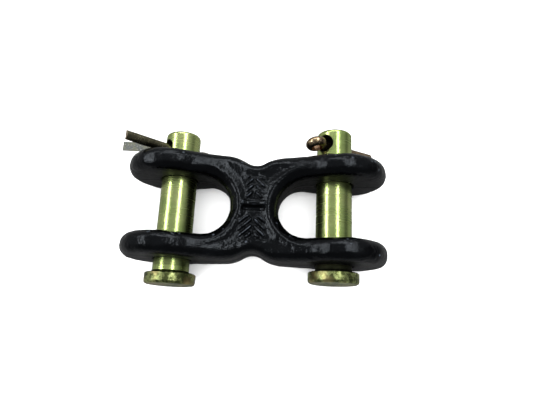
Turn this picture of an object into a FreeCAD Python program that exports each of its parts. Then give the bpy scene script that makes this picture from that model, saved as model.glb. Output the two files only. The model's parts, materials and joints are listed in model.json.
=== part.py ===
import FreeCAD, Part
import math
import os
import Sketcher

# A twin clevis chain link that lies on its side, in millimetres. +X is the line of pull, +Y runs along
# the two pins from their heads to their split pins, and +Z is up from the surface that the four ears
# rest on. The origin is the centre of the footprint.

SIZES = {
    # the forged body
    "pin_spacing": 49.4,
    "jaw_gap": 18.2,
    "ear_thick": 7.2,
    "ear_round": 13.8,
    "ear_nose": 2.3,
    "web_width": 14.6,
    "waist_round": 44.7,
    "notch_depth": 2.7,
    "notch_round": 5.0,
    "notch_blend": 11.5,
    "rim_round": 3.3,
    "bore_diameter": 11.7,
    "trim": 3.0,
    # the headed pins
    "pin_diameter": 11.1,
    "pin_length": 45.0,
    "head_diameter": 15.4,
    "head_thick": 3.4,
    "head_top_bevel": 0.3,
    "head_rim_round": 0.9,
    "neck_height": 0.7,
    "neck_flare": 0.7,
    "tip_round": 1.1,
    "cross_hole_diameter": 5.5,
    "cross_hole_bevel": 0.2,
    "left_hole_from_tip": 5.2,
    "right_hole_from_tip": 4.75,
    # the split pins, each folded from half-round wire
    "wire_round": 1.55,
    "leg_gap": 0.3,
    "leg_bend_round": 4.0,
    "eye_inside_round": 1.7,
    "neck_bend_round": 2.0,
    "eye_centre": 8.0,
    "bend_start": 4.6,
    "left_upper_spread": 5.5,
    "left_upper_reach": 19.1,
    "left_lower_spread": 37.0,
    "left_lower_reach": 16.5,
    "right_upper_spread": 3.0,
    "right_upper_reach": 17.6,
    "right_lower_spread": 3.0,
    "right_lower_reach": 17.6,
}

# Where each pin stands in the body: the side it is on (-1 is -X), how far its head stands off the ear,
# the turn of its cross hole from +Z towards -X, and how its split pin sits in the hole. The legs point
# out of the hole on the side given by "legs". The split pin has backed out of the hole by "drawn", lies
# "sits" nearer to the pin's end than the hole's middle, leans towards the pin's end by "lean", is turned
# round the pin by "swing", and is turned about its own length by "roll".
STATIONS = {
    "left": {"side": -1, "head_stand_off": 4.2, "hole_turn": 55.0, "legs": 1,
             "drawn": -0.6, "sits": -0.4, "lean": 0.1, "swing": 3.0, "roll": 0.0},
    "right": {"side": 1, "head_stand_off": 1.9, "hole_turn": 41.0, "legs": -1,
              "drawn": 0.6, "sits": -0.3, "lean": 4.2, "swing": -6.0, "roll": -12.0},
}

SHEET = "sizes"
START, END, CENTRE = 1, 2, 3
X_AXIS, Y_AXIS, ORIGIN_POINT = -1, -2, (-1, 1)


def make_sheet(doc):
    """Put every driving dimension into a spreadsheet cell with an alias."""
    sheet = doc.addObject("Spreadsheet::Sheet", SHEET)
    for row, (alias, value) in enumerate(SIZES.items(), start=1):
        sheet.set(f"A{row}", alias)
        sheet.set(f"B{row}", str(value))
        sheet.setAlias(f"B{row}", alias)
    doc.recompute()
    return sheet


def cell(text):
    """Point each size's name in an expression, written with spaces between its words, at its cell."""
    words = text.replace("(", " ( ").replace(")", " ) ").split()
    return " ".join(f"{SHEET}.{word}" if word in SIZES else word for word in words)


def new_body(doc, label):
    body = doc.addObject("PartDesign::Body", label)
    body.Label = label
    return body


def origin_plane(body, role):
    return next(item for item in body.Origin.OriginFeatures if item.Role == role)


def new_sketch(body, name, role):
    sketch = body.newObject("Sketcher::SketchObject", name)
    sketch.AttachmentSupport = [(origin_plane(body, role), "")]
    sketch.MapMode = "FlatFace"
    return sketch


def bind(sketch, kind, references, value, expression):
    """Add a dimension that follows the spreadsheet."""
    index = sketch.addConstraint(Sketcher.Constraint(kind, *references, value))
    name = f"size_{index}"
    sketch.renameConstraint(index, name)
    sketch.setExpression(f"Constraints.{name}", cell(expression))


def join(sketch, kind, *references):
    sketch.addConstraint(Sketcher.Constraint(kind, *references))


def draw_polygon(sketch, corners):
    """Draw a closed outline. Each corner is (x, y, x expression, y expression)."""
    points = [FreeCAD.Vector(x, y, 0) for x, y, _, _ in corners]
    lines = []
    for start, end in zip(points, points[1:] + points[:1]):
        lines.append(sketch.addGeometry(Part.LineSegment(start, end), False))
    for line, following in zip(lines, lines[1:] + lines[:1]):
        join(sketch, "Coincident", line, END, following, START)
    for line, (x, y, x_text, y_text) in zip(lines, corners):
        bind_coordinate(sketch, "DistanceX", line, x, x_text, Y_AXIS)
        bind_coordinate(sketch, "DistanceY", line, y, y_text, X_AXIS)


def bind_coordinate(sketch, kind, line, value, expression, axis):
    if value == 0:
        join(sketch, "PointOnObject", line, START, axis)
    else:
        bind(sketch, kind, (*ORIGIN_POINT, line, START), value, expression)


def draw_circle(sketch, x, y, radius, x_text, y_text, radius_text):
    centre = FreeCAD.Vector(x, y, 0)
    circle = sketch.addGeometry(Part.Circle(centre, FreeCAD.Vector(0, 0, 1), radius), False)
    bind(sketch, "Radius", (circle,), radius, radius_text)
    for kind, value, text, axis in (("DistanceX", x, x_text, Y_AXIS), ("DistanceY", y, y_text, X_AXIS)):
        if value == 0:
            join(sketch, "PointOnObject", circle, CENTRE, axis)
        else:
            bind(sketch, kind, (*ORIGIN_POINT, circle, CENTRE), value, text)
    return circle


def arc(sketch, x, y, radius, start_degrees, end_degrees):
    circle = Part.Circle(FreeCAD.Vector(x, y, 0), FreeCAD.Vector(0, 0, 1), radius)
    piece = Part.ArcOfCircle(circle, math.radians(start_degrees), math.radians(end_degrees))
    return sketch.addGeometry(piece, False)


def cut_through(body, name, sketch):
    """Pocket through everything on both sides of the sketch's plane."""
    before = body.Shape.Volume
    pocket = body.newObject("PartDesign::Pocket", name)
    pocket.Profile = sketch
    pocket.Type = "ThroughAll"
    pocket.Midplane = True
    body.Document.recompute()
    if pocket.Shape.Volume >= before:
        raise RuntimeError(f"{name} cuts nothing")
    return pocket


def mirror(body, name, feature, role):
    copy = body.newObject("PartDesign::Mirrored", name)
    copy.Originals = [feature]
    copy.MirrorPlane = (origin_plane(body, role), [""])
    body.Tip = copy
    body.Document.recompute()
    return copy


def round_edges(body, name, base, edges, expression):
    fillet = body.newObject("PartDesign::Fillet", name)
    fillet.Base = (base, edges)
    fillet.setExpression("Radius", cell(expression))
    body.Document.recompute()
    return fillet


def edge_names(shape, wanted):
    return [f"Edge{number}" for number, edge in enumerate(shape.Edges, start=1) if wanted(edge)]


def runs_along(edge, axis):
    """True for a straight edge parallel to the axis."""
    if not isinstance(edge.Curve, Part.Line):
        return False
    return abs(edge.Curve.Direction.dot(axis)) > 0.999


# ---------------------------------------------------------------- the forged body

def draw_dog_bone(sketch):
    """The body's outline seen along the pins: round ears joined by a hollow-sided waist."""
    size = SIZES
    ear_x = size["pin_spacing"] / 2 + size["ear_nose"]
    reach = size["ear_round"] + size["waist_round"]
    waist_y = math.sqrt(reach ** 2 - ear_x ** 2)
    slope = math.degrees(math.atan2(waist_y, ear_x))
    right = arc(sketch, ear_x, 0, size["ear_round"], slope - 180, 180 - slope)
    left = arc(sketch, -ear_x, 0, size["ear_round"], slope, 360 - slope)
    top = arc(sketch, 0, waist_y, size["waist_round"], 180 + slope, 360 - slope)
    bottom = arc(sketch, 0, -waist_y, size["waist_round"], slope, 180 - slope)
    join(sketch, "Tangent", right, END, top, END)
    join(sketch, "Tangent", top, START, left, START)
    join(sketch, "Tangent", left, END, bottom, END)
    join(sketch, "Tangent", bottom, START, right, START)
    join(sketch, "PointOnObject", right, CENTRE, X_AXIS)
    join(sketch, "Equal", right, left)
    join(sketch, "Equal", top, bottom)
    bind(sketch, "Radius", (right,), size["ear_round"], "ear_round")
    bind(sketch, "Radius", (top,), size["waist_round"], "waist_round")
    bind(sketch, "DistanceX", (*ORIGIN_POINT, right, CENTRE), ear_x, "pin_spacing / 2 + ear_nose")
    join(sketch, "Symmetric", right, CENTRE, left, CENTRE, *ORIGIN_POINT)


def draw_rectangle(sketch, half_x, half_y, x_text, y_text):
    corners = []
    for sign_x, sign_y in ((-1, -1), (1, -1), (1, 1), (-1, 1)):
        texts = f"{sign_x} * ( {x_text} )", f"{sign_y} * ( {y_text} )"
        corners.append((sign_x * half_x, sign_y * half_y, *texts))
    draw_polygon(sketch, corners)


def draw_jaw(sketch):
    """One U-shaped jaw: a half circle against the web, open past the ears' ends."""
    size = SIZES
    radius = size["jaw_gap"] / 2
    centre_x = size["web_width"] / 2 + radius
    end_x = size["pin_spacing"] / 2 + size["ear_nose"] + size["ear_round"] + size["trim"]
    bend = arc(sketch, centre_x, 0, radius, 90, 270)
    lower = sketch.addGeometry(Part.LineSegment(FreeCAD.Vector(centre_x, -radius, 0),
                                                FreeCAD.Vector(end_x, -radius, 0)), False)
    mouth = sketch.addGeometry(Part.LineSegment(FreeCAD.Vector(end_x, -radius, 0),
                                                FreeCAD.Vector(end_x, radius, 0)), False)
    upper = sketch.addGeometry(Part.LineSegment(FreeCAD.Vector(end_x, radius, 0),
                                                FreeCAD.Vector(centre_x, radius, 0)), False)
    join(sketch, "Tangent", bend, END, lower, START)
    join(sketch, "Coincident", lower, END, mouth, START)
    join(sketch, "Coincident", mouth, END, upper, START)
    join(sketch, "Tangent", upper, END, bend, START)
    join(sketch, "Horizontal", lower)
    join(sketch, "Horizontal", upper)
    join(sketch, "Vertical", mouth)
    join(sketch, "PointOnObject", bend, CENTRE, X_AXIS)
    bind(sketch, "Radius", (bend,), radius, "jaw_gap / 2")
    bind(sketch, "DistanceX", (*ORIGIN_POINT, bend, CENTRE), centre_x, "web_width / 2 + jaw_gap / 2")
    bind(sketch, "DistanceX", (*ORIGIN_POINT, mouth, START), end_x,
         "pin_spacing / 2 + ear_nose + ear_round + trim")


def make_clevis_body(doc):
    """One forging: a block cut by two jaws, pinched at the waist, trimmed round and bull-nosed."""
    size = SIZES
    body = new_body(doc, "clevis_body")
    half_length = size["pin_spacing"] / 2 + size["ear_nose"] + size["ear_round"]
    half_height = size["jaw_gap"] / 2 + size["ear_thick"]
    length_text = "pin_spacing / 2 + ear_nose + ear_round + trim"
    height_text = "jaw_gap / 2 + ear_thick"

    block_sketch = new_sketch(body, "block_outline", "XY_Plane")
    draw_rectangle(block_sketch, half_length + size["trim"], half_height, length_text, height_text)
    block = body.newObject("PartDesign::Pad", "block")
    block.Profile = block_sketch
    block.Midplane = True
    block.setExpression("Length", cell("2 * ( ear_round + trim )"))
    doc.recompute()

    jaw_sketch = new_sketch(body, "jaw_outline", "XY_Plane")
    draw_jaw(jaw_sketch)
    jaw = cut_through(body, "jaw_right", jaw_sketch)
    mirror(body, "jaw_left", jaw, "YZ_Plane")

    notch_sketch = new_sketch(body, "notch_outline", "XY_Plane")
    notch_y = half_height - size["notch_depth"] + size["notch_round"]
    draw_circle(notch_sketch, 0, notch_y, size["notch_round"], "0",
                "jaw_gap / 2 + ear_thick - notch_depth + notch_round", "notch_round")
    notch = cut_through(body, "notch_top", notch_sketch)
    notches = mirror(body, "notch_bottom", notch, "XZ_Plane")

    notch_edges = edge_names(notches.Shape, lambda edge: is_notch_corner(edge, half_height))
    round_edges(body, "notch_corners", notches, notch_edges, "notch_blend")

    outline_sketch = new_sketch(body, "ear_outline", "XZ_Plane")
    draw_rectangle(outline_sketch, half_length + 2 * size["trim"], size["ear_round"] + 2 * size["trim"],
                   length_text + " + trim", "ear_round + 2 * trim")
    draw_dog_bone(outline_sketch)
    outline = cut_through(body, "ear_trim", outline_sketch)

    rim_edges = edge_names(outline.Shape, is_rim)
    rims = round_edges(body, "rims", outline, rim_edges, "rim_round")

    bore_sketch = new_sketch(body, "bores", "XZ_Plane")
    for sign in (-1, 1):
        draw_circle(bore_sketch, sign * size["pin_spacing"] / 2, 0, size["bore_diameter"] / 2,
                    f"{sign} * pin_spacing / 2", "0", "bore_diameter / 2")
    cut_through(body, "ear_bores", bore_sketch)
    return body


def is_notch_corner(edge, half_height):
    """The four sharp corners where the waist notches meet the body's flat sides."""
    centre = edge.CenterOfMass
    on_side = abs(abs(centre.y) - half_height) < 0.01
    return runs_along(edge, FreeCAD.Vector(0, 0, 1)) and on_side and abs(centre.x) < SIZES["notch_round"]


def is_rim(edge):
    """An edge between a side and the trimmed outline, not a seam between two smooth faces."""
    return not (runs_along(edge, FreeCAD.Vector(0, 0, 1)) or runs_along(edge, FreeCAD.Vector(0, 1, 0)))


# ---------------------------------------------------------------- the pins

def make_pin(doc, name):
    """A headed pin along its own +Z, with the underside of its head at zero."""
    size = SIZES
    label = f"pin_{name}"
    hole_from_tip = f"{name}_hole_from_tip"
    body = new_body(doc, label)
    shank = size["pin_diameter"] / 2
    head = size["head_diameter"] / 2
    length = size["pin_length"]
    bevel = size["head_top_bevel"]
    profile = new_sketch(body, f"{label}_profile", "XZ_Plane")
    draw_polygon(profile, [
        (0, -size["head_thick"], "0", "- head_thick"),
        (head, -size["head_thick"], "head_diameter / 2", "- head_thick"),
        (head, -bevel, "head_diameter / 2", "- head_top_bevel"),
        (head - bevel, 0, "head_diameter / 2 - head_top_bevel", "0"),
        (shank + size["neck_flare"], 0, "pin_diameter / 2 + neck_flare", "0"),
        (shank, size["neck_height"], "pin_diameter / 2", "neck_height"),
        (shank, length, "pin_diameter / 2", "pin_length"),
        (0, length, "0", "pin_length"),
    ])
    turned = body.newObject("PartDesign::Revolution", f"{label}_turned")
    turned.Profile = profile
    turned.ReferenceAxis = (profile, ["V_Axis"])
    turned.Angle = 360
    doc.recompute()

    head_rim = edge_names(turned.Shape, lambda edge: is_circle_at(edge, -size["head_thick"]))
    headed = round_edges(body, f"{label}_head_rim", turned, head_rim, "head_rim_round")
    tip_rim = edge_names(headed.Shape, lambda edge: is_circle_at(edge, length))
    round_edges(body, f"{label}_tip_rim", headed, tip_rim, "tip_round")

    hole_sketch = new_sketch(body, f"{label}_hole_outline", "YZ_Plane")
    draw_circle(hole_sketch, 0, length - size[hole_from_tip], size["cross_hole_diameter"] / 2,
                "0", f"pin_length - {hole_from_tip}", "cross_hole_diameter / 2")
    hole = cut_through(body, f"{label}_cross_hole", hole_sketch)

    bevel_hole = body.newObject("PartDesign::Chamfer", f"{label}_hole_bevel")
    bevel_hole.Base = (hole, edge_names(hole.Shape, is_hole_mouth))
    bevel_hole.setExpression("Size", cell("cross_hole_bevel"))
    doc.recompute()
    return body


def is_circle_at(edge, height):
    return isinstance(edge.Curve, Part.Circle) and abs(edge.CenterOfMass.z - height) < 0.01


def is_hole_mouth(edge):
    """The saddle-shaped edges where the cross hole leaves the shank."""
    return isinstance(edge.Curve, Part.BSplineCurve)


# ---------------------------------------------------------------- the split pins

def draw_half_round(sketch):
    """The wire's section: a half disc whose flat side lies on the sketch's vertical axis."""
    radius = SIZES["wire_round"]
    back = arc(sketch, 0, 0, radius, -90, 90)
    flat = sketch.addGeometry(Part.LineSegment(FreeCAD.Vector(0, radius, 0),
                                               FreeCAD.Vector(0, -radius, 0)), False)
    join(sketch, "Coincident", back, END, flat, START)
    join(sketch, "Coincident", flat, END, back, START)
    join(sketch, "Coincident", back, CENTRE, *ORIGIN_POINT)
    join(sketch, "PointOnObject", flat, START, Y_AXIS)
    join(sketch, "PointOnObject", flat, END, Y_AXIS)
    bind(sketch, "Radius", (back,), radius, "wire_round")


def leg_ends(spread, reach):
    """Where the straight part of a leg starts, after its outward bend, and where it ends."""
    size = SIZES
    bend = size["leg_bend_round"]
    angle = math.radians(spread)
    start_x = size["bend_start"] + bend * math.sin(angle)
    start_y = size["leg_gap"] / 2 + bend * (1 - math.cos(angle))
    return (start_x, start_y), (reach, start_y + (reach - start_x) * math.tan(angle))


def draw_line(sketch, start, end):
    piece = Part.LineSegment(FreeCAD.Vector(*start, 0), FreeCAD.Vector(*end, 0))
    return sketch.addGeometry(piece, False)


def draw_leg(sketch, side, alias, neck_x, meet):
    """Leg, bend, straight and neck on one side of the split. Returns the neck and its end at the eye."""
    size = SIZES
    half_gap = size["leg_gap"] / 2
    bend = size["leg_bend_round"]
    neck = size["neck_bend_round"]
    spread = size[f"{alias}_spread"]
    (start_x, start_y), (tip_x, tip_y) = leg_ends(spread, size[f"{alias}_reach"])
    bend_angles = (270, 270 + spread) if side > 0 else (90 - spread, 90)
    neck_angles = (180 + meet, 270) if side > 0 else (90, 180 - meet)
    near, far = (START, END) if side > 0 else (END, START)

    leg = draw_line(sketch, (start_x, side * start_y), (tip_x, side * tip_y))
    turn = arc(sketch, size["bend_start"], side * (half_gap + bend), bend, *bend_angles)
    shank = draw_line(sketch, (size["bend_start"], side * half_gap), (neck_x, side * half_gap))
    shoulder = arc(sketch, neck_x, side * (half_gap + neck), neck, *neck_angles)
    join(sketch, "Tangent", leg, START, turn, far)
    join(sketch, "Tangent", turn, near, shank, START)
    join(sketch, "Tangent", shank, END, shoulder, far)
    join(sketch, "Horizontal", shank)
    bind(sketch, "Radius", (turn,), bend, "leg_bend_round")
    bind(sketch, "Radius", (shoulder,), neck, "neck_bend_round")
    bind(sketch, "DistanceX", (*ORIGIN_POINT, shank, START), size["bend_start"], "bend_start")
    bind(sketch, "DistanceY", (*ORIGIN_POINT, shank, START), side * half_gap, f"{side} * leg_gap / 2")
    bind(sketch, "DistanceX", (*ORIGIN_POINT, leg, END), tip_x, f"{alias}_reach")
    bind(sketch, "Angle", (leg,), side * math.radians(spread), f"{side} * {alias}_spread * 1 deg")
    return shoulder, near


def draw_wire_path(sketch, name):
    """The line that the wire's flat side follows: leg, neck, round eye, neck, leg."""
    size = SIZES
    neck_y = size["leg_gap"] / 2 + size["neck_bend_round"]
    eye = size["eye_inside_round"]
    eye_x = -size["eye_centre"]
    neck_x = eye_x + math.sqrt((eye + size["neck_bend_round"]) ** 2 - neck_y ** 2)
    meet = math.degrees(math.atan2(neck_y, neck_x - eye_x))
    upper, upper_end = draw_leg(sketch, 1, f"{name}_upper", neck_x, meet)
    ring = arc(sketch, eye_x, 0, eye, meet, 360 - meet)
    lower, lower_end = draw_leg(sketch, -1, f"{name}_lower", neck_x, meet)
    join(sketch, "Tangent", upper, upper_end, ring, START)
    join(sketch, "Tangent", ring, END, lower, lower_end)
    join(sketch, "PointOnObject", ring, CENTRE, X_AXIS)
    bind(sketch, "Radius", (ring,), eye, "eye_inside_round")


def make_cotter(doc, name):
    """A split pin along its own +X, with its eye on the -X side and its split in the XY plane."""
    label = f"cotter_{name}"
    body = new_body(doc, label)
    path = new_sketch(body, f"{label}_path", "XY_Plane")
    draw_wire_path(path, name)
    spread = SIZES[f"{name}_upper_spread"]
    _, (tip_x, tip_y) = leg_ends(spread, SIZES[f"{name}_upper_reach"])
    section = new_sketch(body, f"{label}_section", "YZ_Plane")
    section.AttachmentOffset = FreeCAD.Placement(
        FreeCAD.Vector(tip_y, 0, tip_x),
        FreeCAD.Rotation(FreeCAD.Vector(0, 1, 0), spread))
    draw_half_round(section)
    doc.recompute()
    wire = body.newObject("PartDesign::AdditivePipe", f"{label}_wire")
    wire.Profile = section
    wire.Spine = (path, [])
    wire.Mode = "Standard"
    doc.recompute()
    return body


# ---------------------------------------------------------------- places

def pin_placement(station):
    """Pin's +Z along the world's +Y, with its cross hole turned to the station's angle."""
    size = SIZES
    turn = math.radians(station["hole_turn"])
    hole = FreeCAD.Vector(-math.sin(turn), 0, math.cos(turn)) * station["legs"]
    along = FreeCAD.Vector(0, 1, 0)
    base = FreeCAD.Vector(station["side"] * size["pin_spacing"] / 2,
                          -size["jaw_gap"] / 2 - size["ear_thick"] - station["head_stand_off"],
                          size["ear_round"])
    return FreeCAD.Placement(base, FreeCAD.Rotation(hole, along.cross(hole), along, "ZXY"))


def cotter_placement(name, station):
    """Split pin through the cross hole, swung, leaning and rolled by the hole's play."""
    hole_height = SIZES["pin_length"] - SIZES[f"{name}_hole_from_tip"]
    in_hole = FreeCAD.Placement(
        FreeCAD.Vector(0, 0, hole_height + station["sits"]),
        FreeCAD.Rotation(station["swing"], -station["lean"], station["roll"]))
    backed_out = FreeCAD.Placement(FreeCAD.Vector(-station["drawn"], 0, 0), FreeCAD.Rotation())
    return pin_placement(station) * in_hole * backed_out


def centre_on_footprint(bodies):
    """Move everything so that the origin is the middle of the footprint on the surface."""
    box = FreeCAD.BoundBox()
    for body in bodies:
        box.add(body.Shape.optimalBoundingBox(False, False))
    shift = FreeCAD.Vector(-box.Center.x, -box.Center.y, 0)
    for body in bodies:
        body.Placement = FreeCAD.Placement(shift, FreeCAD.Rotation()) * body.Placement


def check_document(doc, bodies):
    for item in doc.Objects:
        if "Invalid" in item.State or "Error" in item.State:
            raise RuntimeError(f"{item.Label} failed: {item.State}")
    for body in bodies:
        if body.Shape.isNull() or not body.Shape.isValid() or len(body.Shape.Solids) != 1:
            raise RuntimeError(f"{body.Label} isn't one valid solid")


def build():
    doc = FreeCAD.newDocument("twin_clevis_link")
    make_sheet(doc)
    clevis = make_clevis_body(doc)
    clevis.Placement = FreeCAD.Placement(FreeCAD.Vector(0, 0, SIZES["ear_round"]), FreeCAD.Rotation())
    bodies = [clevis]
    for name, station in STATIONS.items():
        pin = make_pin(doc, name)
        pin.Placement = pin_placement(station)
        cotter = make_cotter(doc, name)
        cotter.Placement = cotter_placement(name, station)
        bodies += [pin, cotter]
    doc.recompute()
    centre_on_footprint(bodies)
    doc.recompute()
    check_document(doc, bodies)
    os.makedirs("parts", exist_ok=True)
    for body in bodies:
        body.Shape.exportStep(f"parts/{body.Label}.step")


build()
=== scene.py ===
import json
import math

import bpy
from mathutils import Matrix, Vector, noise


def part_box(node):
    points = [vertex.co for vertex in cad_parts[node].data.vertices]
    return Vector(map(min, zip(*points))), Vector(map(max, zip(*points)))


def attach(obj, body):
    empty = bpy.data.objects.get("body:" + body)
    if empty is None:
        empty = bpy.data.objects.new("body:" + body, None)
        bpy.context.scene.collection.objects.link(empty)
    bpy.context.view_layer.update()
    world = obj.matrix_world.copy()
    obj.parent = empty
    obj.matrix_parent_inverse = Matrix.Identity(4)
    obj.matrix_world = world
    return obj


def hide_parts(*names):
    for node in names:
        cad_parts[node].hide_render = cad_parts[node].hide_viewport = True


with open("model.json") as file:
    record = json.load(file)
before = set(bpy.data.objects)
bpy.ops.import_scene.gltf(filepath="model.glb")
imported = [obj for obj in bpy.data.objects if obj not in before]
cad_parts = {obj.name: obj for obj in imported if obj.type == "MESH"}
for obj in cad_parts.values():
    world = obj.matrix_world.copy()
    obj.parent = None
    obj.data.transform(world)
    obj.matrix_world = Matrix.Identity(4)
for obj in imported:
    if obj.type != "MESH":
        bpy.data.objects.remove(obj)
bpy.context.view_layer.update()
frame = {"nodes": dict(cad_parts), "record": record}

# A twin clevis chain link: a black enamelled forging, two yellow-zinc pins and two bronze split pins.
# Everything is in metres in the frame of the CAD parts: +X is the line of pull, +Y runs along the pins
# from their heads to their split pins, and +Z is up from the surface that the link lies on.

MM = 0.001
SIDES = ("left", "right")

BODY_LOW, BODY_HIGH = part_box("clevis_body")
BODY_MIDDLE = (BODY_LOW + BODY_HIGH) / 2
PIN_MIDDLES = {side: sum(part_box(f"pin_{side}"), Vector()) / 2 for side in SIDES}


# ---------------------------------------------------------------- material building blocks

class Nodes:
    """A node tree, with short calls that add a node and return one of its outputs."""

    def __init__(self, tree):
        self.tree = tree

    def add(self, kind, inputs=None, **settings):
        node = self.tree.nodes.new(kind)
        for name, value in settings.items():
            setattr(node, name, value)
        for name, value in (inputs or {}).items():
            self.feed(node.inputs[name], value)
        return node

    def feed(self, socket, value):
        if isinstance(value, bpy.types.NodeSocket):
            self.tree.links.new(value, socket)
        else:
            socket.default_value = value

    def remap(self, value, low, high, to_low=0.0, to_high=1.0):
        inputs = {"Value": value, "From Min": low, "From Max": high, "To Min": to_low, "To Max": to_high}
        return self.add("ShaderNodeMapRange", inputs).outputs["Result"]

    def blend(self, factor, first, second):
        node = self.add("ShaderNodeMix", data_type="RGBA")
        self.feed(node.inputs[0], factor)
        self.feed(node.inputs[6], first)
        self.feed(node.inputs[7], second)
        return node.outputs[2]

    def math(self, operation, first, second=0.0):
        node = self.add("ShaderNodeMath", operation=operation)
        self.feed(node.inputs[0], first)
        self.feed(node.inputs[1], second)
        return node.outputs[0]

    def dot(self, first, second):
        node = self.add("ShaderNodeVectorMath", operation="DOT_PRODUCT")
        self.feed(node.inputs[0], first)
        self.feed(node.inputs[1], second)
        return node.outputs["Value"]

    def band(self, value, middle, half_width, edge):
        """1 where the value is within half_width of the middle, easing to 0 over the edge."""
        off_middle = self.math("ABSOLUTE", self.math("SUBTRACT", value, middle))
        return self.remap(off_middle, half_width + edge, half_width)


class Shader(Nodes):
    """A material's nodes, which feed its one Principled surface."""

    def __init__(self, name):
        self.material = bpy.data.materials.new(name)
        self.material.use_nodes = True
        super().__init__(self.material.node_tree)
        self.surface = self.tree.nodes["Principled BSDF"]
        source = self.add("ShaderNodeTexCoord")
        self.place = source.outputs["Object"]
        self.turn = source.outputs["Normal"]

    def set(self, **inputs):
        for name, value in inputs.items():
            self.feed(self.surface.inputs[name.replace("_", " ")], value)

    def stretched(self, x, y, z):
        """The object's coordinates, multiplied along each axis."""
        node = self.add("ShaderNodeMapping", {"Vector": self.place, "Scale": (x, y, z)})
        return node.outputs["Vector"]

    def noise(self, scale, detail=3.0, roughness=0.5, vector=None):
        inputs = {"Vector": vector or self.place, "Scale": scale, "Detail": detail, "Roughness": roughness}
        return self.add("ShaderNodeTexNoise", inputs).outputs["Fac"]

    def off_axis(self, point):
        """The distance from the line through this point along Y."""
        inputs = {"Vector": self.place, "Location": (-point.x, 0.0, -point.z), "Scale": (1.0, 0.0, 1.0)}
        across = self.add("ShaderNodeMapping", inputs).outputs["Vector"]
        return self.add("ShaderNodeVectorMath", {"Vector": across}, operation="LENGTH").outputs["Value"]

    def beyond(self, axis, point):
        """How far along an axis each place is from the point."""
        return self.math("SUBTRACT", self.dot(self.place, axis), point.dot(axis))

    def bump(self, height, distance, strength=1.0, normal=None):
        inputs = {"Height": height, "Distance": distance, "Strength": strength}
        if normal:
            inputs["Normal"] = normal
        return self.add("ShaderNodeBump", inputs).outputs["Normal"]


def enamel_material():
    """Thick black dip enamel: glossy, slightly orange-peeled, scuffed grey on its high spots."""
    shader = Shader("black_enamel")
    peel = shader.noise(1300.0, detail=3.0)
    grain = shader.noise(3500.0, detail=3.0)
    cloud = shader.noise(120.0, detail=4.0)
    height = shader.add("ShaderNodeNewGeometry").outputs["Pointiness"]
    scuff_spread = shader.remap(height, 0.53, 0.60)
    scuff_patch = shader.remap(shader.noise(420.0, detail=6.0, roughness=0.7), 0.42, 0.60)
    scuff = shader.math("MULTIPLY", scuff_spread, scuff_patch)
    dust = shader.math("MULTIPLY", shader.remap(cloud, 0.55, 0.75), 0.02)
    wear = shader.math("MAXIMUM", scuff, dust)
    black = (0.0003, 0.0003, 0.0004, 1.0)
    grey = (0.034, 0.040, 0.049, 1.0)
    upright = shader.add("ShaderNodeSeparateXYZ", {"Vector": shader.turn}).outputs["Z"]
    on_side = shader.remap(shader.math("ABSOLUTE", upright), 0.5, 0.1)
    sheen = shader.remap(cloud, 0.3, 0.7, 0.10, 0.22)
    shader.set(
        Base_Color=shader.blend(wear, black, grey),
        Roughness=shader.math("ADD", sheen, shader.math("MULTIPLY", on_side, 0.30)),
        Specular_IOR_Level=0.25,
        Specular_Tint=(0.84, 0.92, 1.0, 1.0),
    )
    orange_peel = shader.bump(peel, 0.14 * MM, 0.9)
    shader.set(Normal=shader.bump(grain, 0.01 * MM, 0.4, orange_peel))
    return shader.material


def roll_joint(side):
    """The record's joint that a split pin turns about."""
    joints = frame["record"]["behaviour"]["joints"]
    return next(joint for joint in joints if joint["name"] == f"cotter_{side}_roll")


HEAD_THICK = 3.4 * MM
PIN_RADIUS = 5.55 * MM
# Half of the stretch of the pin round its cross hole whose inside is darkened with painted shade.
HOLE_HALF = 3.4 * MM
# The middle and half the length of each pin's neck, between the ear and the head, and how strongly painted
# shade darkens it.
NECK_MIDDLE = -18.6 * MM
NECK_HALF = 1.1 * MM
NECK_PAINTED_SHADE = {"left": 0.40, "right": 0.97}
LIME = (0.46, 0.60, 0.20, 1.0)
STRAW = (0.62, 0.70, 0.28, 1.0)
OLIVE = (0.30, 0.37, 0.11, 1.0)
ROSE = (0.42, 0.33, 0.15, 1.0)
SOOT = (0.11, 0.13, 0.045, 1.0)
# The colour of the painted shade in the pins' cross holes and on their necks.
PAINTED_SHADE_COLOUR = (0.03, 0.03, 0.02, 1.0)


def pin_painted_shade(shader, side, along):
    """Where painted shade darkens a pin: in its cross hole, and on its neck next to the ear."""
    off_axis = shader.off_axis(PIN_MIDDLES[side])
    in_bar = shader.remap(off_axis, PIN_RADIUS - 0.05 * MM, PIN_RADIUS - 0.20 * MM)
    by_hole = shader.band(along, roll_joint(side)["pos_m"][1], HOLE_HALF, 0.1 * MM)
    in_hole = shader.math("MULTIPLY", in_bar, by_hole)
    # Painted shade on the neck, where the ear shadows it and mirrors its black face; stronger on the right
    # pin.
    neck = shader.band(along, NECK_MIDDLE, NECK_HALF, 0.4 * MM)
    return shader.math("MAXIMUM", in_hole, shader.math("MULTIPLY", neck, NECK_PAINTED_SHADE[side]))


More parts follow.
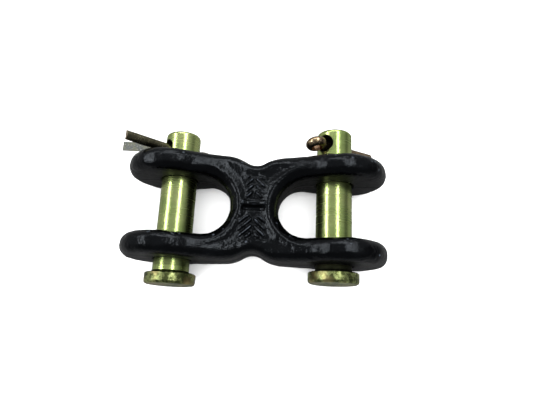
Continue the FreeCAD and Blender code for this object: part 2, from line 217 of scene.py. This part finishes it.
def chromate_material(side):
    """Turned steel under yellow-green zinc chromate, with tool lines round the pin and a mottled head."""
    shader = Shader(f"yellow_zinc_{side}")
    lines = shader.noise(1.0, detail=3.0, roughness=0.6, vector=shader.stretched(25.0, 1500.0, 25.0))
    bands = shader.noise(1.0, detail=2.0, vector=shader.stretched(12.0, 420.0, 12.0))
    cloud = shader.noise(160.0, detail=4.0)
    film = shader.noise(420.0, detail=6.0, roughness=0.7)
    along = shader.add("ShaderNodeSeparateXYZ", {"Vector": shader.place}).outputs["Y"]
    head_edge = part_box(f"pin_{side}")[0].y + HEAD_THICK
    on_head = shader.remap(along, head_edge + 0.1 * MM, head_edge - 0.1 * MM)
    # Painted shade: the pin's colour darkens in its cross hole and on its neck by the ear.
    painted_shade = pin_painted_shade(shader, side, along)
    shank = shader.blend(shader.remap(cloud, 0.35, 0.7), LIME, STRAW)
    shank = shader.blend(shader.remap(bands, 0.5, 0.8, 0.0, 0.35), shank, OLIVE)
    shank = shader.blend(shader.remap(lines, 0.50, 0.70, 0.0, 0.4), shank, OLIVE)
    head = shader.blend(shader.remap(film, 0.47, 0.63), SOOT, STRAW)
    head = shader.blend(shader.remap(cloud, 0.50, 0.66), head, ROSE)
    clean = shader.blend(on_head, shank, head)
    polish = shader.remap(lines, 0.35, 0.65, 0.23, 0.28)
    sheen = shader.math("ADD", polish, shader.math("MULTIPLY", on_head, 0.10))
    turned = shader.bump(lines, 0.0025 * MM)
    shader.set(
        Base_Color=shader.blend(painted_shade, clean, PAINTED_SHADE_COLOUR),
        Metallic=1.0,
        Roughness=shader.math("MAXIMUM", sheen, shader.math("MULTIPLY", painted_shade, 0.6)),
        Normal=shader.bump(film, 0.12 * MM, shader.math("MULTIPLY", on_head, 0.9), turned),
    )
    return shader.material


# Two colours for the wire's round back and two for its flat side, which the patina mixes.
BACK_TINTS = {
    "left": ((0.13, 0.12, 0.075, 1.0), (0.34, 0.31, 0.19, 1.0)),
    "right": ((0.20, 0.14, 0.085, 1.0), (0.56, 0.42, 0.26, 1.0)),
}
FLAT_TINTS = {
    "left": ((0.42, 0.44, 0.42, 1.0), (0.55, 0.54, 0.38, 1.0)),
    "right": ((0.30, 0.20, 0.13, 1.0), (0.44, 0.33, 0.22, 1.0)),
}
SHEARED = (0.62, 0.50, 0.34, 1.0)
# The legs' cut ends lie further than this from the pin's middle, along the split pin.
ENDS_BEYOND = 9.0 * MM


def flat_side_mask(shader, side):
    """1 on the flat inner side of the half-round wire and 0 on its round back."""
    joint = roll_joint(side)
    middle = Vector(joint["pos_m"])
    across_split = Vector((0, 1, 0)).cross(Vector(joint["axis"])).normalized()
    facing = shader.dot(shader.turn, across_split)
    half = shader.math("SIGN", shader.beyond(across_split, middle))
    inward = shader.math("MULTIPLY", half, facing)
    return shader.remap(inward, -0.45, -0.55)


def cut_end_mask(shader, side):
    """1 on the sheared ends of the wire, out beyond the pin, and 0 along the wire."""
    joint = roll_joint(side)
    axis = Vector(joint["axis"])
    far_out = shader.remap(shader.beyond(axis, Vector(joint["pos_m"])), ENDS_BEYOND, ENDS_BEYOND + MM)
    facing_out = shader.remap(shader.dot(shader.turn, axis), 0.60, 0.70)
    return shader.math("MULTIPLY", far_out, facing_out)


def bronze_material(side):
    """Drawn wire with brown-bronze zinc, which has worn thinner on the flat side of the half-round."""
    shader = Shader(f"bronze_zinc_{side}")
    cloud = shader.noise(420.0, detail=5.0, roughness=0.6)
    speck = shader.noise(1900.0, detail=3.0)
    flat = flat_side_mask(shader, side)
    brown, gold = BACK_TINTS[side]
    silver, tarnish = FLAT_TINTS[side]
    back_colour = shader.blend(shader.remap(cloud, 0.35, 0.7), brown, gold)
    flat_colour = shader.blend(shader.remap(cloud, 0.45, 0.7), silver, tarnish)
    long_sides = shader.blend(flat, back_colour, flat_colour)
    shader.set(
        Base_Color=shader.blend(cut_end_mask(shader, side), long_sides, SHEARED),
        Metallic=1.0,
        Roughness=shader.remap(speck, 0.3, 0.7, 0.22, 0.28),
        Normal=shader.bump(speck, 0.003 * MM, 0.5),
    )
    return shader.material


# ---------------------------------------------------------------- the forged body

# Relief on the waist, with no lettering: a raised bar across it, a slot beside the bar, and a patch of
# slanted ribs on each side of the two. Places are (X, Y) from the middle of the waist.
BAR_PLACE = (0.0, 0.9 * MM)
BAR_HALF_SIZE = (3.4 * MM, 0.45 * MM)
SLOT_PLACE = (0.0, -0.7 * MM)
SLOT_HALF_SIZE = (3.2 * MM, 0.35 * MM)
SLOT_DEPTH = 0.7 * MM
PATCHES = (((0.3 * MM, 6.0 * MM), (2.5 * MM, 3.2 * MM)), ((-0.2 * MM, -6.2 * MM), (3.6 * MM, 3.2 * MM)))
RIB_PITCH = 2.1 * MM
RIB_SLANT = 0.9
RELIEF_HEIGHT = 1.0 * MM
RELIEF_EDGE = 0.35 * MM

# Each bow's centre, from the middle of the waist, and its radius. A lip runs round it at some distance, with
# a shallow dish beyond, over the part of the body within WAIST_HALF of the middle.
BOW_MIDDLE = 16.4 * MM
BOW_RADIUS = 9.1 * MM
LIP_FROM_BOW = 2.9 * MM
LIP_WIDTH = 0.9 * MM
LIP_HEIGHT = 0.35 * MM
DISH_FROM_BOW = 3.6 * MM
DISH_DEPTH = 0.55 * MM
DISH_HALF_LENGTH = 9.0 * MM
WAIST_HALF = 11.0 * MM

RIDGE_HEIGHT = 0.10 * MM
RIDGE_HALF_WIDTH = 0.7 * MM

# The skin's unevenness: each kind of lump's size and height, and its place in the noise.
LUMPS = (
    (9.0 * MM, 0.26 * MM, (0.0, 0.0, 0.0)),
    (3.6 * MM, 0.16 * MM, (7.3, 1.9, 4.1)),
    (1.5 * MM, 0.05 * MM, (2.7, 8.5, 3.3)),
)
PIT_SIZE = 2.3 * MM
PIT_DEPTH = 0.35 * MM
PIT_PLACE = (5.1, 5.7, 9.9)
SKIN_SINK = 0.10 * MM
# The skin is nearly smooth within this distance of a pin's axis.
SMOOTH_RADIUS = 5.9 * MM


def smooth_step(value):
    value = min(max(value, 0.0), 1.0)
    return value * value * (3.0 - 2.0 * value)


def inside_box(x, y, place, half_size):
    """1 within a rectangle of the waist's upper face, easing to 0 over the relief's edge."""
    beyond_x = max(abs(x - place[0]) - half_size[0], 0.0)
    beyond_y = max(abs(y - place[1]) - half_size[1], 0.0)
    return 1.0 - smooth_step(math.hypot(beyond_x, beyond_y) / RELIEF_EDGE)


def relief_height(point, normal):
    """How far the bar and ribs lift this point of the waist's upper face, or the slot sinks it."""
    if normal.z < 0.4:
        return 0.0
    x = point.x - BODY_MIDDLE.x
    y = point.y - BODY_MIDDLE.y
    bar = inside_box(x, y, BAR_PLACE, BAR_HALF_SIZE)
    wave = math.sin(2.0 * math.pi * (y + RIB_SLANT * abs(x)) / RIB_PITCH)
    rib = smooth_step(2.2 * wave + 0.4) * smooth_step(abs(x) / (0.6 * MM) - 0.2)
    worn = 0.8 + 0.5 * noise.noise(point / (2.0 * MM))
    patch = max(inside_box(x, y, *each) for each in PATCHES) * rib * worn
    slot = inside_box(x, y, SLOT_PLACE, SLOT_HALF_SIZE) * SLOT_DEPTH
    return (max(bar, patch) * RELIEF_HEIGHT - slot) * smooth_step((normal.z - 0.4) / 0.3)


def shoulder(point, normal):
    """The lip round each bow, and the shallow dish that it leaves in the middle of the waist."""
    if normal.z < 0.2:
        return 0.0
    x = abs(point.x - BODY_MIDDLE.x)
    y = abs(point.y - BODY_MIDDLE.y)
    from_bow = math.hypot(x - BOW_MIDDLE, y) - BOW_RADIUS
    on_waist = 1.0 - smooth_step((x - WAIST_HALF) / (7.0 * MM))
    lip = LIP_HEIGHT * math.exp(-((from_bow - LIP_FROM_BOW) / LIP_WIDTH) ** 2)
    dish_end = 1.0 - smooth_step((y - DISH_HALF_LENGTH) / (5.0 * MM))
    dish = DISH_DEPTH * smooth_step((from_bow - DISH_FROM_BOW) / (2.4 * MM)) * dish_end
    return (lip - dish) * on_waist * smooth_step((normal.z - 0.2) / 0.4)


def parting_ridge(point, normal):
    """The faint ridge where the forging dies met, round the body at half its height."""
    off_line = abs(point.z - BODY_MIDDLE.z) / RIDGE_HALF_WIDTH
    facing_out = smooth_step((0.75 - abs(normal.z)) / 0.5)
    return RIDGE_HEIGHT * (1.0 - smooth_step(off_line)) * facing_out


def lumps(point):
    """The forging's uneven skin under the enamel: swells, hammer-sized lumps, fine lumps and small pits."""
    rise = sum(height * noise.noise(point / size + Vector(place)) for size, height, place in LUMPS)
    pit = max(noise.noise(point / PIT_SIZE + Vector(PIT_PLACE)) - 0.25, 0.0)
    return rise - PIT_DEPTH * pit - SKIN_SINK


def near_pin(point):
    """1 on and close to the walls of the pins' holes, where the skin must stay clear of the pins."""
    nearest = min(math.hypot(point.x - middle.x, point.z - middle.z) for middle in PIN_MIDDLES.values())
    return 1.0 - smooth_step((nearest - SMOOTH_RADIUS) / (1.2 * MM))


def remeshed_copy(source, name, voxel):
    """An even, dense copy of a CAD node's mesh that can be sculpted."""
    piece = bpy.data.objects.new(name, source.data.copy())
    bpy.context.scene.collection.objects.link(piece)
    remesh = piece.modifiers.new("remesh", "REMESH")
    remesh.mode = "VOXEL"
    remesh.voxel_size = voxel
    smooth = piece.modifiers.new("smooth", "SMOOTH")
    smooth.factor = 0.5
    smooth.iterations = 6
    evaluated = piece.evaluated_get(bpy.context.evaluated_depsgraph_get())
    piece.data = bpy.data.meshes.new_from_object(evaluated)
    piece.modifiers.clear()
    return piece


def sculpt_forging(mesh):
    """Move every vertex along its normal by the skin's lumps, ridge and marks."""
    normals = [vertex.normal.copy() for vertex in mesh.vertices]
    for vertex, normal in zip(mesh.vertices, normals):
        point = vertex.co.copy()
        calm = 1.0 - 0.9 * near_pin(point)
        skin = lumps(point) * (0.3 + 0.7 * abs(normal.z))
        rise = (skin + parting_ridge(point, normal) + shoulder(point, normal)) * calm
        rise += relief_height(point, normal)
        moved = point + normal * rise
        moved.z = max(moved.z, BODY_LOW.z)
        vertex.co = moved
    mesh.shade_smooth()


def build_forging():
    voxel = 0.3 * MM
    piece = remeshed_copy(frame["nodes"]["clevis_body"], "forging_skin", voxel)
    sculpt_forging(piece.data)
    piece.data.materials.clear()
    piece.data.materials.append(enamel_material())
    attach(piece, "clevis_body")
    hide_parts("clevis_body")


# ---------------------------------------------------------------- pins and split pins

def paint(node, material):
    """Give a CAD node the material in every slot."""
    for slot in frame["nodes"][node].material_slots:
        slot.material = material


def finish_hardware():
    for side in SIDES:
        paint(f"pin_{side}", chromate_material(side))
        paint(f"cotter_{side}", bronze_material(side))


# ---------------------------------------------------------------- studio

FLOOR_HALF = 1.5
PAPER_SEEN = (0.92, 0.92, 0.92, 1.0)
PAPER_MIRRORED = (0.11, 0.11, 0.11, 1.0)
BACKDROP = 0.9


def add_floor():
    """White paper, which gloss and the scattered light meet as a darker grey."""
    mesh = bpy.data.meshes.new("floor")
    corners = [(x * FLOOR_HALF, y * FLOOR_HALF, 0) for x, y in ((-1, -1), (1, -1), (1, 1), (-1, 1))]
    mesh.from_pydata(corners, [], [(0, 1, 2, 3)])
    floor = bpy.data.objects.new("floor", mesh)
    bpy.context.scene.collection.objects.link(floor)
    shader = Shader("floor_paper")
    seen = shader.add("ShaderNodeLightPath").outputs["Is Camera Ray"]
    paper = shader.blend(seen, PAPER_MIRRORED, PAPER_SEEN)
    shader.set(Base_Color=paper, Roughness=0.9, Specular_IOR_Level=0.1)
    mesh.materials.append(shader.material)


def add_lamp(name, degrees_right, degrees_back, distance, width, length, power, mirrored):
    """A rectangular lamp over the link, its length along the pins. Angles lean it from straight up. It is
    either mirrored by the gloss only, or only lights the surfaces."""
    data = bpy.data.lights.new(name, "AREA")
    data.shape = "RECTANGLE"
    data.size = width
    data.size_y = length
    data.energy = power
    lamp = bpy.data.objects.new(name, data)
    bpy.context.scene.collection.objects.link(lamp)
    lamp.visible_glossy = mirrored
    lamp.visible_diffuse = not mirrored
    right = math.radians(degrees_right)
    back = math.radians(degrees_back)
    direction = Vector((math.tan(right), math.tan(back), 1.0)).normalized()
    lamp.location = BODY_MIDDLE + direction * distance
    across = Vector((0, 1, 0)).cross(direction).normalized()
    upward = direction.cross(across)
    turn = Matrix((across, upward, direction)).transposed()
    lamp.rotation_euler = turn.to_euler()


def add_world(strength):
    """A dim room that the gloss mirrors, darker low on the right and at the front. The camera itself sees a
    pale backdrop."""
    world = bpy.data.worlds.new("studio")
    world.use_nodes = True
    nodes = Nodes(world.node_tree)
    direction = nodes.add("ShaderNodeTexCoord").outputs["Generated"]
    compass = nodes.add("ShaderNodeSeparateXYZ", {"Vector": direction}).outputs
    right_wall = nodes.remap(compass["X"], 0.80, 0.92, 1.0, 0.3)
    front_wall = nodes.remap(compass["Y"], -0.55, -0.10, 0.40, 1.0)
    room = nodes.math("MULTIPLY", nodes.math("MULTIPLY", right_wall, front_wall), strength)
    seen = nodes.add("ShaderNodeLightPath").outputs["Is Camera Ray"]
    background = nodes.tree.nodes["Background"]
    nodes.feed(background.inputs["Color"], (0.94, 0.97, 1.0, 1.0))
    nodes.feed(background.inputs["Strength"], nodes.remap(seen, 0.0, 1.0, room, BACKDROP))
    bpy.context.scene.world = world


def add_studio():
    add_floor()
    add_lamp("lamp_right", 21.0, 14.0, 0.50, 0.048, 0.38, 0.68, mirrored=True)
    add_lamp("lamp_left", -50.0, 14.0, 0.40, 0.040, 0.38, 0.60, mirrored=True)
    add_lamp("lamp_back", 0.0, 48.0, 0.32, 0.30, 0.08, 0.35, mirrored=True)
    add_lamp("fill", 0.0, 0.0, 0.9, 1.2, 1.2, 36.0, mirrored=False)
    add_world(0.38)
    bpy.context.scene.view_settings.view_transform = "Standard"


def add_camera():
    """A close wide-angle camera almost overhead, leaning towards the pins' heads and rolled a little."""
    lean_right, lean_front, roll = math.radians(2.6), math.radians(15.7), math.radians(2.83)
    distance = 143.2 * MM
    aim = BODY_MIDDLE + Vector((3.5, 3.9, 0.0)) * MM
    back = Vector((math.tan(lean_right), -math.tan(lean_front), 1.0)).normalized()
    level_up = (Vector((0, 1, 0)) - back * back.y).normalized()
    level_right = level_up.cross(back)
    right = level_right * math.cos(roll) + level_up * math.sin(roll)
    upward = back.cross(right)
    data = bpy.data.cameras.new("camera")
    data.sensor_width = 36.0
    data.lens = 30.6
    data.clip_start = 0.005
    camera = bpy.data.objects.new("camera", data)
    bpy.context.scene.collection.objects.link(camera)
    turn = Matrix((right, upward, back)).transposed().to_4x4()
    camera.matrix_world = Matrix.Translation(aim + back * distance) @ turn
    bpy.context.scene.camera = camera


build_forging()
finish_hardware()
add_studio()
add_camera()
